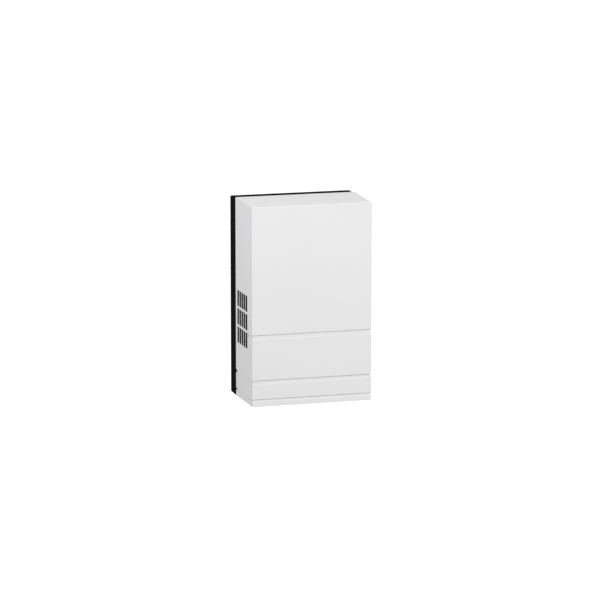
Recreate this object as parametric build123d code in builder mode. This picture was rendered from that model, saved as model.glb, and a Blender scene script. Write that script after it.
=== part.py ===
from build123d import *
import os
from math import cos, pi, sin, sqrt, tan

os.makedirs("parts", exist_ok=True)

# A two-note door chime in a moulded case. All lengths are in millimetres.
# X runs to the right as seen from the front and Z runs up. The wall face lies in the plane Y = 0.
# A depth is a distance out from the wall face, so it runs along -Y.

# Case
case_width = 120.0            # at the cover's rear edge
case_height = 195.0           # at the cover's rear edge
base_depth = 19.8             # wall face to the rim of the base
cover_depth = 57.7            # rim of the base to the front face
parting_gap = 0.3             # between the rim of the base and the cover
side_draft = 0.6              # how far each side leans in towards the front
end_draft = 0.9               # how far the top and the bottom lean in
long_edge_radius = 0.9        # on the four edges that run front to back
front_edge_radius = 0.5
inner_corner_radius = 1.0
cover_wall = 2.4
front_wall = 2.6
overrun = 1.0                 # how far a cutting shape stands past the faces that it cuts

# Grooves round the cover: a square lip above, a flat floor, and a slope below
groove_depth = 0.75
upper_groove_floor = 3.2
middle_groove_floor = 2.7
lower_groove_floor = 1.8
wide_groove_slope = 1.1       # below the floor of the upper and the middle one
narrow_groove_slope = 0.8     # below the floor of the lower one
upper_groove_height = 70.6    # lip above the lower edge of the case
middle_groove_height = 26.6
lower_groove_height = 8.2
groove_stop = 2.0             # between the upper groove's end and the nearest vent

# Vents in both sides of the cover
vent_columns = 5
vent_rows = 3
vent_width = 6.1
vent_height = 15.6
vent_pitch = 7.4
vent_row_pitch = 18.0         # from one row up to the next
vent_first = 8.6              # rim of the base to the middle of the first column
vent_foot = 54.3              # lower edge of the case to the lowest vents
vent_wall = 0.6               # the side wall is thinned from inside behind the vents
vent_margin = 0.8             # the thin patch reaches this far past the vents
vent_rim = 2.0                # rear edge of the cover to the thin patch
vent_rim_wall = 1.2           # the side wall along that rim

# Base
base_wall = 2.4
base_floor = 2.5
base_top_step = 1.3           # the top of the base lies this much below the top of the cover
wall_edge_radius = 0.6
rib_thickness = 2.0
rib_height = 4.0
rib_clearance = 1.3           # from the transformer's feet to the ribs beside them
rib_inset = 9.5               # each end of the case to the end of a rib
wall_screw_radius = 2.25
wall_screw_side_inset = 10.0  # from the side of the case
wall_screw_end_inset = 12.5   # from the end of the case
wall_boss_radius = 5.0
wall_boss_height = 1.5

# Tongues and tabs that locate the cover on the base
tab_height = 5.0              # how far they stand past the rim
tab_thickness = 2.0
side_tab_length = 36.0
side_tab_inset = 35.5         # each end of the case to the middle of a tongue
side_tab_clearance = 0.7
end_tab_length = 56.0
end_tab_clearance = 0.4
pip_radius = 1.5
pip_rise = 0.4
pip_length = 12.0
pip_height = 2.9              # past the rim
dimple_depth = 0.4
dimple_margin = 1.5           # past each end of the pip

# Tone bars: each hangs on two pegs through rubber bushes at its still points
axis_depth = 39.0             # depth of the striker's axis, and of the middle of both bars
peg_clearance = 6.1           # from the pegs' ends to the inside of the cover
bar_thickness = 3.0
bar_width = 30.0
bar_corner_radius = 2.0
bar_end_clearance = 22.5      # each end of the longer bar, on the left, to the end of the case
bar_length_step = 14.0        # the right bar is this much shorter
still_point_share = 0.224     # of the bar's length, from each end
bar_float = 0.6               # how far a struck bar can move out along its pegs
seat_gap = 0.3
peg_radius = 2.5
peg_fit = 0.08                # radial clearance of the bush on its peg
peg_lead = 1.2                # of the peg past its clip
bush_neck_radius = 4.4
bush_neck_fit = 0.05          # radial clearance of the neck in the bar's hole
bush_flange_radius = 6.6
bush_flange_thickness = 1.6
clip_thickness = 0.8
clip_radius = 5.2
clip_fit = 0.03
clip_slot_width = 0.8
clip_slot_depth = 1.1
clip_slots = 6
upright_thickness = 4.0
upright_width = 13.0
gusset_reach = 9.0
gusset_share = 0.7            # of the upright's height

# Solenoid: its axis runs along X, from bar to bar
yoke_clearance = 18.0         # outer face of the right end plate to the right bar
yoke_sheet = 1.6
yoke_size = 28.0              # height of the end plates
yoke_hole_radius = 5.5
yoke_ear_width = 20.0
yoke_ear_length = 10.0
yoke_corner_radius = 1.5
bobbin_gap = 0.2              # between the bobbin and each end plate
bobbin_flange = 24.0
bobbin_flange_thickness = 1.2
bobbin_flange_corner = 3.0
bobbin_bore_radius = 5.3
bobbin_tube_wall = 0.9
winding_radius = 11.0
winding_gap = 0.05
yoke_post_radius = 4.5
screw_pilot_depth = 12.0

# Plunger: a steel core with a nylon striker at each end
core_radius = 5.0
core_inset = 14.1             # outer face of the right end plate to the core's end
core_edge = 0.4
swing_left = 2.6              # past its resting place, when the spring throws it back
swing_right = 9.4             # when the coil pulls it in
striker_gap = 0.3             # left between striker and bar at the end of a swing
left_head_radius = 6.6
left_head_length = 7.0
left_nose_radius = 2.6
right_rod_radius = 3.0
right_nose_radius = 2.2
spigot_radius = 2.0
spigot_length = 8.0
spigot_fit = 0.03

# Return spring, between the left striker's head and the left end plate
spring_wire = 0.6
spring_room = 16.1            # from the striker's head to the frame, at rest
spring_clearance = 0.6        # inside the coils, round the core
spring_seat = 0.1
spring_open_turns = 6
spring_closed_pitch = 1.1

# Transformer
transformer_clearance = 1.1   # below the left bar's lower upright
stack_width = 48.0
stack_depth = 40.0
stack_thickness = 20.0        # of the laminated core, along Z
window_width = 8.0
window_depth = 24.0
seat_depth = 5.0              # of the pads that the transformer stands on
former_gap = 0.2
former_wall = 1.0
former_flange_thickness = 1.0
former_flange_height = 35.6
coil_height = 34.0
coil_inset = 0.5              # of the windings inside the flanges, at the sides
coil_gap = 0.05
coil_corner_radius = 3.0
secondary_share = 0.42        # of the room between the end flanges
clamp_sheet = 1.2
clamp_foot_length = 10.5
foot_screw_inset = 4.5        # from the end of the foot
foot_boss_radius = 4.3
foot_pilot_depth = 4.0
pad_width = 30.0
pad_height = 16.0

# Terminal block
block_width = 40.0
block_height = 14.0
block_depth = 14.0
block_rise = 53.0             # middle of the case up to the middle of the block
block_seat_depth = 6.5
block_corner_radius = 1.0
terminal_count = 4
terminal_pitch = 9.5
terminal_depth = 5.5          # of the terminals' axes, in front of the block's back
insert_radius = 3.0
insert_bore_radius = 1.7
insert_fit = 0.05
insert_inset = 0.5
well_radius = 2.9
terminal_head_radius = 2.5
terminal_head_height = 1.8
terminal_head_gap = 0.3
terminal_shank_radius = 1.3
terminal_shank_fit = 0.05
terminal_shank_length = 2.4
ear_length = 8.0
ear_thickness = 4.0
ear_boss_radius = 4.0

# Cable entry through the wall face, with a rubber bush
entry_inset = 20.0            # top of the case down to the middle of the entry
entry_radius = 8.0
entry_bore_radius = 5.0
entry_recess_radius = 12.0
entry_recess_depth = 2.0
entry_ring_wall = 2.5
entry_flange_radius = 10.6
entry_flange_thickness = 1.5
entry_fit = 0.05

# Screws inside the case
screw_head_radius = 3.0
screw_head_height = 2.0
screw_shank_radius = 1.45
screw_fit = 0.05
screw_hole_clearance = 0.4
screw_slot_width = 0.8
screw_slot_depth = 0.9
yoke_screw_length = 10.0
foot_screw_length = 4.5
ear_screw_length = 7.0

# Insulated leads
lead_radius = 0.7
lead_bend_share = 0.45        # of the shorter run beside a bend
lead_tip_rise = 3.5           # how far a lead reaches into its terminal
lead_start_gap = 0.1
lead_step = 6.0               # the straight stretch at each end
outer_start = 12.0            # from the middle of the case to where the outer leads start
inner_start = 6.0
coil_start_inset = 7.0        # from the solenoid's right face to where the coil's leads start
outer_pass = 20.0             # where the leads pass the solenoid, on the floor
inner_pass = 13.0
pass_depth = 9.0
pass_height = 12.0

# Places worked out from the sizes above
front_depth = base_depth + cover_depth
rim_depth = base_depth + parting_gap
front_width = case_width - 2 * side_draft
front_height = case_height - 2 * end_draft
case_foot = -case_height / 2
inside_half_width = case_width / 2 - cover_wall
inside_half_height = case_height / 2 - cover_wall
base_middle = -base_top_step / 2
base_height = case_height - base_top_step
tongue_face = inside_half_width - side_tab_clearance
pip_x = tongue_face - (pip_radius - pip_rise)
pip_depth = base_depth + pip_height
side_tab_z = case_height / 2 - side_tab_inset
tongue_places = [(side, z) for side in (-1, 1) for z in (-side_tab_z, side_tab_z)]
wall_screw_x = case_width / 2 - wall_screw_side_inset
wall_screw_z = case_height / 2 - wall_screw_end_inset
entry_rise = case_height / 2 - entry_inset

vent_middle_depth = base_depth + vent_first + vent_pitch * (vent_columns - 1) / 2
vent_middle = case_foot + vent_foot + vent_height / 2 + vent_row_pitch * (vent_rows - 1) / 2
vent_reach = vent_pitch * (vent_columns - 1) + vent_width
vent_span = vent_row_pitch * (vent_rows - 1) + vent_height
vent_front_depth = vent_middle_depth + vent_reach / 2

peg_end = inside_half_width - peg_clearance
clip_face = peg_end - peg_lead - clip_thickness
outer_flange_face = clip_face - seat_gap - bar_float
bar_reach = outer_flange_face - bush_flange_thickness - bar_thickness
upright_face = bar_reach - bush_flange_thickness - seat_gap
left_bar_length = case_height - 2 * bar_end_clearance
right_bar_length = left_bar_length - bar_length_step
bars = [
    (-1, "left", left_bar_length, left_bar_length * (0.5 - still_point_share)),
    (1, "right", right_bar_length, right_bar_length * (0.5 - still_point_share)),
]

left_nose = -(bar_reach - striker_gap - swing_left)
right_nose = bar_reach - striker_gap - swing_right
core_left = left_nose + left_head_length
yoke_left = core_left + spring_room
yoke_right = bar_reach - yoke_clearance
yoke_middle = (yoke_left + yoke_right) / 2
core_right = yoke_right - core_inset
yoke_back_depth = axis_depth - yoke_size / 2
yoke_front_depth = axis_depth + yoke_size / 2
yoke_ear_middle = yoke_size / 2 + yoke_ear_length / 2
bobbin_left = yoke_left + yoke_sheet + bobbin_gap
bobbin_right = yoke_right - yoke_sheet - bobbin_gap
bobbin_tube_radius = bobbin_bore_radius + bobbin_tube_wall

upright_low = -bars[0][3] - upright_width / 2
transformer_middle = upright_low - transformer_clearance - stack_thickness / 2
stack_front_depth = seat_depth + stack_depth
window_back_depth = seat_depth + (stack_depth - window_depth) / 2
window_front_depth = window_back_depth + window_depth
leg_width = (stack_width - 2 * window_width) / 2
former_inner_width = leg_width + 2 * former_gap
former_inner_height = stack_thickness + 2 * former_gap
former_outer_width = former_inner_width + 2 * former_wall
former_outer_height = former_inner_height + 2 * former_wall
former_back_depth = window_back_depth + former_gap
former_front_depth = window_front_depth - former_gap
former_flange_width = leg_width + 2 * window_width - 2 * former_gap
clamp_half_width = stack_width / 2 + clamp_sheet
foot_end = clamp_half_width + clamp_foot_length
foot_screw_x = foot_end - foot_screw_inset
rib_x = foot_end + rib_clearance + rib_thickness / 2
rib_end_z = case_height / 2 - rib_inset

terminal_axis_depth = block_seat_depth + terminal_depth
block_low = block_rise - block_height / 2
block_high = block_rise + block_height / 2
terminal_x = [terminal_pitch * (i - (terminal_count - 1) / 2) for i in range(terminal_count)]
ear_screw_x = block_width / 2 + ear_length / 2
entry_front_depth = entry_recess_depth + base_floor
pilot_radius = screw_shank_radius + screw_fit
hole_radius = screw_shank_radius + screw_hole_clearance


# Shapes that several pieces share. Each one joins, or cuts, the piece being built.
def block(x_span, z_span, depth_span, corner=0, mode=Mode.ADD):
    """A block between two sides, two heights and two depths."""
    width, height = x_span[1] - x_span[0], z_span[1] - z_span[0]
    with BuildSketch(Plane.XZ.offset(depth_span[0])) as outline:
        with Locations((sum(x_span) / 2, sum(z_span) / 2)):
            if corner:
                RectangleRounded(width, height, corner)
            else:
                Rectangle(width, height)
    extrude(outline.sketch, amount=depth_span[1] - depth_span[0], mode=mode)


def post(x, z, radius, depth_span, mode=Mode.ADD):
    """A round post square to the wall, between two depths."""
    with BuildSketch(Plane.XZ.offset(depth_span[0])) as outline:
        with Locations((x, z)):
            Circle(radius)
    extrude(outline.sketch, amount=depth_span[1] - depth_span[0], mode=mode)


def rod(x_span, depth, z, radius, mode=Mode.ADD):
    """A round rod along X."""
    with BuildSketch(Plane.YZ.offset(x_span[0])) as outline:
        with Locations((-depth, z)):
            Circle(radius)
    extrude(outline.sketch, amount=x_span[1] - x_span[0], mode=mode)


def pillar(x, depth, z_span, radius, mode=Mode.ADD):
    """A round rod along Z."""
    with BuildSketch(Plane.XY.offset(z_span[0])) as outline:
        with Locations((x, -depth)):
            Circle(radius)
    extrude(outline.sketch, amount=z_span[1] - z_span[0], mode=mode)


def screw(x, z, head_depth, head_radius, head_height, shank_radius, shank_length):
    """A slotted screw that points at the wall, its head seated at a depth."""
    head_top = head_depth + head_height
    post(x, z, head_radius, (head_depth, head_top))
    post(x, z, shank_radius, (head_depth - shank_length, head_depth))
    half_length, half_width = head_radius + overrun, screw_slot_width / 2
    slot_floor = head_top - screw_slot_depth
    block(
        (x - half_length, x + half_length),
        (z - half_width, z + half_width),
        (slot_floor, head_top + overrun),
        mode=Mode.SUBTRACT,
    )


def side_at(depth):
    """Half the cover's width at a depth."""
    return case_width / 2 - side_draft * (depth - rim_depth) / (front_depth - rim_depth)


def both_sides(span):
    """A span across X and its mirror image."""
    return [span, (-span[1], -span[0])]


# Cover
with BuildPart() as cover:
    with BuildSketch(Plane.XZ.offset(rim_depth)):
        RectangleRounded(case_width, case_height, long_edge_radius)
    with BuildSketch(Plane.XZ.offset(front_depth)):
        RectangleRounded(front_width, front_height, long_edge_radius)
    loft()
    fillet(cover.faces().sort_by(Axis.Y)[0].edges(), front_edge_radius)

    with BuildSketch(Plane.XZ.offset(rim_depth)):
        RectangleRounded(2 * inside_half_width, 2 * inside_half_height, inner_corner_radius)
    with BuildSketch(Plane.XZ.offset(front_depth - front_wall)):
        RectangleRounded(
            front_width - 2 * cover_wall, front_height - 2 * cover_wall, inner_corner_radius
        )
    loft(mode=Mode.SUBTRACT)

    # the grooves run round the front and both sides, and only the upper one stops at the vents
    grooves = [
        (upper_groove_height, upper_groove_floor, wide_groove_slope, vent_front_depth + groove_stop),
        (middle_groove_height, middle_groove_floor, wide_groove_slope, rim_depth - overrun),
        (lower_groove_height, lower_groove_floor, narrow_groove_slope, rim_depth - overrun),
    ]
    for lip_height, floor_height, slope_height, end_depth in grooves:
        with BuildLine(Plane.XY.offset(case_foot + lip_height)) as groove_path:
            Polyline(
                (-side_at(end_depth), -end_depth),
                (-front_width / 2, -front_depth),
                (front_width / 2, -front_depth),
                (side_at(end_depth), -end_depth),
            )
        slope_run = slope_height * (groove_depth + overrun) / groove_depth
        with BuildSketch(Plane(groove_path.line @ 0, x_dir=(-1, 0, 0), z_dir=groove_path.line % 0)):
            Polygon(
                (overrun, 0),
                (-groove_depth, 0),
                (-groove_depth, floor_height),
                (overrun, floor_height + slope_run),
                align=None,
            )
        sweep(path=groove_path.line, transition=Transition.RIGHT, mode=Mode.SUBTRACT)

    # the thin patch behind the vents and the rim beside it, then the vents, cut through both sides
    patch_rear, patch_front = rim_depth + vent_rim, vent_front_depth + vent_margin
    half_patch = vent_span / 2 + vent_margin
    thinned = [
        (side_at(vent_middle_depth) - vent_wall, patch_rear, patch_front),
        (case_width / 2 - vent_rim_wall, rim_depth - overrun, patch_rear),
    ]
    for face, rear, front in thinned:
        for side in both_sides((0, face)):
            block(
                side,
                (vent_middle - half_patch, vent_middle + half_patch),
                (rear, front),
                mode=Mode.SUBTRACT,
            )
    with BuildSketch(Plane.YZ):
        with Locations((-vent_middle_depth, vent_middle)):
            with GridLocations(vent_pitch, vent_row_pitch, vent_columns, vent_rows):
                Rectangle(vent_width, vent_height)
    extrude(amount=case_width / 2 + overrun, both=True, mode=Mode.SUBTRACT)

    # dimples that the tongues' pips settle in
    dimple_radius = inside_half_width + dimple_depth - pip_x
    half_dimple = pip_length / 2 + dimple_margin
    for side, z in tongue_places:
        dimple_span = (z - half_dimple, z + half_dimple)
        pillar(side * pip_x, pip_depth, dimple_span, dimple_radius, mode=Mode.SUBTRACT)
cover.part.label = "cover"
export_step(cover.part, "parts/cover.step")

# Base: a shallow tray with everything that carries the works
with BuildPart() as base_plate:
    base_span = (base_middle - base_height / 2, base_middle + base_height / 2)
    block((-case_width / 2, case_width / 2), base_span, (0, base_depth), long_edge_radius)
    fillet(base_plate.faces().sort_by(Axis.Y)[-1].edges(), wall_edge_radius)
    tray_half_width = case_width / 2 - base_wall
    block(
        (-tray_half_width, tray_half_width),
        (base_span[0] + base_wall, base_span[1] - base_wall),
        (base_floor, base_depth + overrun),
        inner_corner_radius,
        mode=Mode.SUBTRACT,
    )

    # tongues along the sides, each with a pip, and a plain tab at each end
    tab_top = base_depth + tab_height
    for side, z in tongue_places:
        x_span = sorted((side * (tongue_face - tab_thickness), side * tongue_face))
        block(x_span, (z - side_tab_length / 2, z + side_tab_length / 2), (0, tab_top))
        pillar(side * pip_x, pip_depth, (z - pip_length / 2, z + pip_length / 2), pip_radius)
    end_face = inside_half_height - end_tab_clearance
    for z_span in both_sides((end_face - tab_thickness, end_face)):
        block((-end_tab_length / 2, end_tab_length / 2), z_span, (0, tab_top))

    # stiffening ribs along the floor
    for x in (-rib_x, rib_x):
        rib_span = (x - rib_thickness / 2, x + rib_thickness / 2)
        block(rib_span, (-rib_end_z, rib_end_z), (0, base_floor + rib_height))

    # an upright, a gusset and a peg at each still point of each bar
    for side, _, _, still_point in bars:
        for z in (-still_point, still_point):
            inner_face = upright_face - upright_thickness
            upright_span = sorted((side * inner_face, side * upright_face))
            z_span = (z - upright_width / 2, z + upright_width / 2)
            block(upright_span, z_span, (0, axis_depth))
            rod(upright_span, axis_depth, z, upright_width / 2)
            rod(sorted((side * inner_face, side * peg_end)), axis_depth, z, peg_radius)
            with BuildSketch(Plane.XY.offset(z - rib_thickness / 2)) as gusset:
                with BuildLine():
                    Polyline(
                        (side * inner_face, 0),
                        (side * (inner_face - gusset_reach), 0),
                        (side * (inner_face - gusset_reach), -base_floor - rib_height),
                        (side * inner_face, -axis_depth * gusset_share),
                        close=True,
                    )
                make_face()
            extrude(gusset.sketch, amount=rib_thickness)

    # posts for the solenoid, joined by a rib
    for z in (-yoke_ear_middle, yoke_ear_middle):
        post(yoke_middle, z, yoke_post_radius, (0, yoke_back_depth))
        pilot_floor = yoke_back_depth - screw_pilot_depth
        post(yoke_middle, z, pilot_radius, (pilot_floor, yoke_back_depth), mode=Mode.SUBTRACT)
    rib_end = yoke_ear_middle - yoke_post_radius + overrun
    block(
        (yoke_middle - rib_thickness / 2, yoke_middle + rib_thickness / 2),
        (-rib_end, rib_end),
        (0, yoke_back_depth),
    )

    # pads and bosses for the transformer
    block(
        (-pad_width / 2, pad_width / 2),
        (transformer_middle - pad_height / 2, transformer_middle + pad_height / 2),
        (0, seat_depth),
    )
    for x in (-foot_screw_x, foot_screw_x):
        post(x, transformer_middle, foot_boss_radius, (0, seat_depth))
        pilot_span = (seat_depth - foot_pilot_depth, seat_depth)
        post(x, transformer_middle, pilot_radius, pilot_span, mode=Mode.SUBTRACT)

    # bosses for the terminal block
    for x in (-ear_screw_x, ear_screw_x):
        post(x, block_rise, ear_boss_radius, (0, block_seat_depth))
        pilot_span = (block_seat_depth - foot_pilot_depth, block_seat_depth)
        post(x, block_rise, pilot_radius, pilot_span, mode=Mode.SUBTRACT)

    # cable entry, recessed from the wall so that its bush lies below the wall face
    ring_radius = entry_recess_radius + entry_ring_wall
    post(0, entry_rise, ring_radius, (0, entry_front_depth))
    post(0, entry_rise, entry_recess_radius, (-overrun, entry_recess_depth), mode=Mode.SUBTRACT)
    post(0, entry_rise, entry_radius, (0, entry_front_depth + overrun), mode=Mode.SUBTRACT)

    # wall screw holes
    for x in (-wall_screw_x, wall_screw_x):
        for z in (-wall_screw_z, wall_screw_z):
            boss_top = base_floor + wall_boss_height
            post(x, z, wall_boss_radius, (0, boss_top))
            post(x, z, wall_screw_radius, (-overrun, boss_top + overrun), mode=Mode.SUBTRACT)
base_plate.part.label = "base_plate"
export_step(base_plate.part, "parts/base_plate.step")

# Tone bars, and the rubber bushes in their holes
for side, name, length, still_point in bars:
    bar_span = sorted((side * bar_reach, side * (bar_reach + bar_thickness)))
    with BuildPart() as tone_bar:
        with BuildSketch(Plane.YZ.offset(bar_span[0])) as bar_outline:
            with Locations((-axis_depth, 0)):
                RectangleRounded(bar_width, length, bar_corner_radius)
        extrude(bar_outline.sketch, amount=bar_thickness)
        for z in (-still_point, still_point):
            rod(
                (bar_span[0] - overrun, bar_span[1] + overrun), axis_depth, z,
                bush_neck_radius + bush_neck_fit, mode=Mode.SUBTRACT,
            )
    tone_bar.part.label = f"{name}_tone_bar"
    export_step(tone_bar.part, f"parts/{name}_tone_bar.step")

    bush_span = (bar_span[0] - bush_flange_thickness, bar_span[1] + bush_flange_thickness)
    with BuildPart() as bar_bushes:
        for z in (-still_point, still_point):
            rod((bush_span[0], bar_span[0]), axis_depth, z, bush_flange_radius)
            rod(bar_span, axis_depth, z, bush_neck_radius)
            rod((bar_span[1], bush_span[1]), axis_depth, z, bush_flange_radius)
            rod(bush_span, axis_depth, z, peg_radius + peg_fit, mode=Mode.SUBTRACT)
    bar_bushes.part.label = f"{name}_bar_bushes"
    export_step(bar_bushes.part, f"parts/{name}_bar_bushes.step")

# Push-on clips that keep the bars on their pegs
with BuildPart() as bar_clips:
    for side, _, _, still_point in bars:
        clip_span = sorted((side * clip_face, side * (clip_face + clip_thickness)))
        for z in (-still_point, still_point):
            rod(clip_span, axis_depth, z, clip_radius)
            rod(clip_span, axis_depth, z, peg_radius + clip_fit, mode=Mode.SUBTRACT)
            slot_middle = peg_radius + clip_slot_depth / 2
            with BuildSketch(Plane.YZ.offset(clip_span[0])) as clip_teeth:
                with Locations((-axis_depth, z)):
                    with PolarLocations(slot_middle, clip_slots):
                        Rectangle(clip_slot_depth + clip_slot_width, clip_slot_width)
            extrude(clip_teeth.sketch, amount=clip_thickness, mode=Mode.SUBTRACT)
bar_clips.part.label = "bar_clips"
export_step(bar_clips.part, "parts/bar_clips.step")

# Solenoid frame: a web along the wall side, two ears and two end plates, bent from one sheet
with BuildPart() as solenoid_frame:
    half_size = yoke_size / 2
    ear_end = half_size + yoke_ear_length
    web_span = (yoke_back_depth, yoke_back_depth + yoke_sheet)
    block((yoke_left, yoke_right), (-half_size, half_size), web_span)
    ear_x_span = (yoke_middle - yoke_ear_width / 2, yoke_middle + yoke_ear_width / 2)
    block(ear_x_span, (-ear_end, ear_end), web_span, yoke_corner_radius)
    for left_face in (yoke_left, yoke_right - yoke_sheet):
        plate_span = (left_face, left_face + yoke_sheet)
        block(plate_span, (-half_size, half_size), (yoke_back_depth, yoke_front_depth))
        rod(plate_span, axis_depth, 0, yoke_hole_radius, mode=Mode.SUBTRACT)
    for z in (-yoke_ear_middle, yoke_ear_middle):
        post(yoke_middle, z, hole_radius, web_span, mode=Mode.SUBTRACT)
    front_corners = solenoid_frame.edges().filter_by(Axis.X).group_by(Axis.Y)[0]
    fillet(front_corners, yoke_corner_radius)
solenoid_frame.part.label = "solenoid_frame"
export_step(solenoid_frame.part, "parts/solenoid_frame.step")

# Solenoid bobbin and its winding
with BuildPart() as solenoid_bobbin:
    rod((bobbin_left, bobbin_right), axis_depth, 0, bobbin_tube_radius)
    for left_face in (bobbin_left, bobbin_right - bobbin_flange_thickness):
        with BuildSketch(Plane.YZ.offset(left_face)) as flange_outline:
            with Locations((-axis_depth, 0)):
                RectangleRounded(bobbin_flange, bobbin_flange, bobbin_flange_corner)
        extrude(flange_outline.sketch, amount=bobbin_flange_thickness)
    rod((bobbin_left, bobbin_right), axis_depth, 0, bobbin_bore_radius, mode=Mode.SUBTRACT)
solenoid_bobbin.part.label = "solenoid_bobbin"
export_step(solenoid_bobbin.part, "parts/solenoid_bobbin.step")

with BuildPart() as solenoid_winding:
    winding_span = (
        bobbin_left + bobbin_flange_thickness + winding_gap,
        bobbin_right - bobbin_flange_thickness - winding_gap,
    )
    rod(winding_span, axis_depth, 0, winding_radius)
    rod(winding_span, axis_depth, 0, bobbin_tube_radius + winding_gap, mode=Mode.SUBTRACT)
solenoid_winding.part.label = "solenoid_winding"
export_step(solenoid_winding.part, "parts/solenoid_winding.step")

# Plunger core, drilled at both ends for the strikers' spigots
with BuildPart() as plunger_core:
    rod((core_left, core_right), axis_depth, 0, core_radius)
    chamfer(plunger_core.edges().filter_by(GeomType.CIRCLE), core_edge)
    drill_radius = spigot_radius + spigot_fit
    drill_length = spigot_length + spigot_fit
    rod((core_left, core_left + drill_length), axis_depth, 0, drill_radius, mode=Mode.SUBTRACT)
    rod((core_right - drill_length, core_right), axis_depth, 0, drill_radius, mode=Mode.SUBTRACT)
plunger_core.part.label = "plunger_core"
export_step(plunger_core.part, "parts/plunger_core.step")

# Strikers: the left one has a broad head that the spring pushes on
with BuildPart() as left_striker:
    rod((left_nose, core_left), axis_depth, 0, left_head_radius)
    fillet(left_striker.edges().filter_by(GeomType.CIRCLE).sort_by(Axis.X)[0], left_nose_radius)
    rod((core_left, core_left + spigot_length), axis_depth, 0, spigot_radius)
left_striker.part.label = "left_striker"
export_step(left_striker.part, "parts/left_striker.step")

with BuildPart() as right_striker:
    rod((core_right, right_nose), axis_depth, 0, right_rod_radius)
    fillet(right_striker.edges().filter_by(GeomType.CIRCLE).sort_by(Axis.X)[-1], right_nose_radius)
    rod((core_right - spigot_length, core_right), axis_depth, 0, spigot_radius)
right_striker.part.label = "right_striker"
export_step(right_striker.part, "parts/right_striker.step")

# Return spring: closed turns at both ends and open turns between, as quarter-turn pairs of arcs
spring_radius = core_radius + spring_clearance + spring_wire / 2
spring_start = core_left + spring_seat + spring_wire / 2
spring_end = yoke_left - spring_seat - spring_wire / 2
open_step = (spring_end - spring_start - 2 * spring_closed_pitch) / (4 * spring_open_turns)
steps = [spring_closed_pitch / 4] * 4 + [open_step] * (4 * spring_open_turns)
steps += [spring_closed_pitch / 4] * 4
spring_places = [spring_start + sum(steps[:i]) for i in range(len(steps) + 1)]
spring_slopes = [steps[0]]
spring_slopes += [(before + after) / 2 for before, after in zip(steps, steps[1:])]
spring_slopes += [steps[-1]]


def on_spring(x, quarter):
    """The wire's middle after a number of quarter turns."""
    angle = quarter * pi / 2
    return Vector(x, -axis_depth + spring_radius * cos(angle), spring_radius * sin(angle))


def along_spring(step, quarter):
    """The wire's direction there, climbing by a step in each quarter turn."""
    angle = quarter * pi / 2
    speed = spring_radius * pi / 2
    return Vector(step, -speed * sin(angle), speed * cos(angle)).normalized()


spring_points = [on_spring(x, i) for i, x in enumerate(spring_places)]
spring_directions = [along_spring(step, i) for i, step in enumerate(spring_slopes)]
with BuildPart() as return_spring:
    with BuildLine() as spring_line:
        for i in range(len(steps)):
            start, end = spring_points[i], spring_points[i + 1]
            leave, arrive = spring_directions[i], spring_directions[i + 1]
            # the two arcs meet halfway between two handles of equal length
            chord, both = end - start, leave + arrive
            a, b, c = both.dot(both) - 4, -2 * chord.dot(both), chord.dot(chord)
            handle = (-b - sqrt(b * b - 4 * a * c)) / (2 * a)
            first, second = start + leave * handle, end - arrive * handle
            middle = (first + second) / 2
            TangentArc(start, middle, tangent=leave)
            TangentArc(middle, end, tangent=second - first)
    with BuildSketch(Plane(spring_points[0], z_dir=spring_directions[0])):
        Circle(spring_wire / 2)
    sweep(path=spring_line.line)
return_spring.part.label = "return_spring"
export_step(return_spring.part, "parts/return_spring.step")
turn_gaps = [
    (spring_points[i + 4] - spring_points[i]).length - spring_wire
    for i in range(len(spring_points) - 4)
]
print("least gap between the spring's turns:", round(min(turn_gaps), 3))

# Screws that hold the solenoid frame
with BuildPart() as solenoid_screws:
    for z in (-yoke_ear_middle, yoke_ear_middle):
        screw(
            yoke_middle, z, yoke_back_depth + yoke_sheet, screw_head_radius, screw_head_height,
            screw_shank_radius, yoke_screw_length,
        )
solenoid_screws.part.label = "solenoid_screws"
export_step(solenoid_screws.part, "parts/solenoid_screws.step")

# Transformer core: a stack of steel sheets with two windows beside its middle leg
with BuildPart() as transformer_core:
    stack_span = (transformer_middle - stack_thickness / 2, transformer_middle + stack_thickness / 2)
    block((-stack_width / 2, stack_width / 2), stack_span, (seat_depth, stack_front_depth))
    for window in both_sides((leg_width / 2, leg_width / 2 + window_width)):
        block(window, stack_span, (window_back_depth, window_front_depth), mode=Mode.SUBTRACT)
transformer_core.part.label = "transformer_core"
export_step(transformer_core.part, "parts/transformer_core.step")

# Winding former, with a flange at each end and one between the two windings
former_room = former_front_depth - former_back_depth - 3 * former_flange_thickness
divider_depth = former_back_depth + former_flange_thickness + former_room * secondary_share


def centred_ring(outer, inner, depth_span, corner=0):
    """A box-shaped ring round the transformer's middle leg."""
    middle = transformer_middle
    width, height = outer
    block((-width / 2, width / 2), (middle - height / 2, middle + height / 2), depth_span, corner)
    width, height = inner
    block(
        (-width / 2, width / 2), (middle - height / 2, middle + height / 2), depth_span,
        mode=Mode.SUBTRACT,
    )


former_hole = (former_inner_width, former_inner_height)
with BuildPart() as transformer_former:
    for depth in (
        former_back_depth, divider_depth, former_front_depth - former_flange_thickness,
    ):
        centred_ring(
            (former_flange_width, former_flange_height), former_hole,
            (depth, depth + former_flange_thickness),
        )
    former_tube = (former_outer_width, former_outer_height)
    centred_ring(former_tube, former_hole, (former_back_depth, former_front_depth))
transformer_former.part.label = "transformer_former"
export_step(transformer_former.part, "parts/transformer_former.step")

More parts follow.
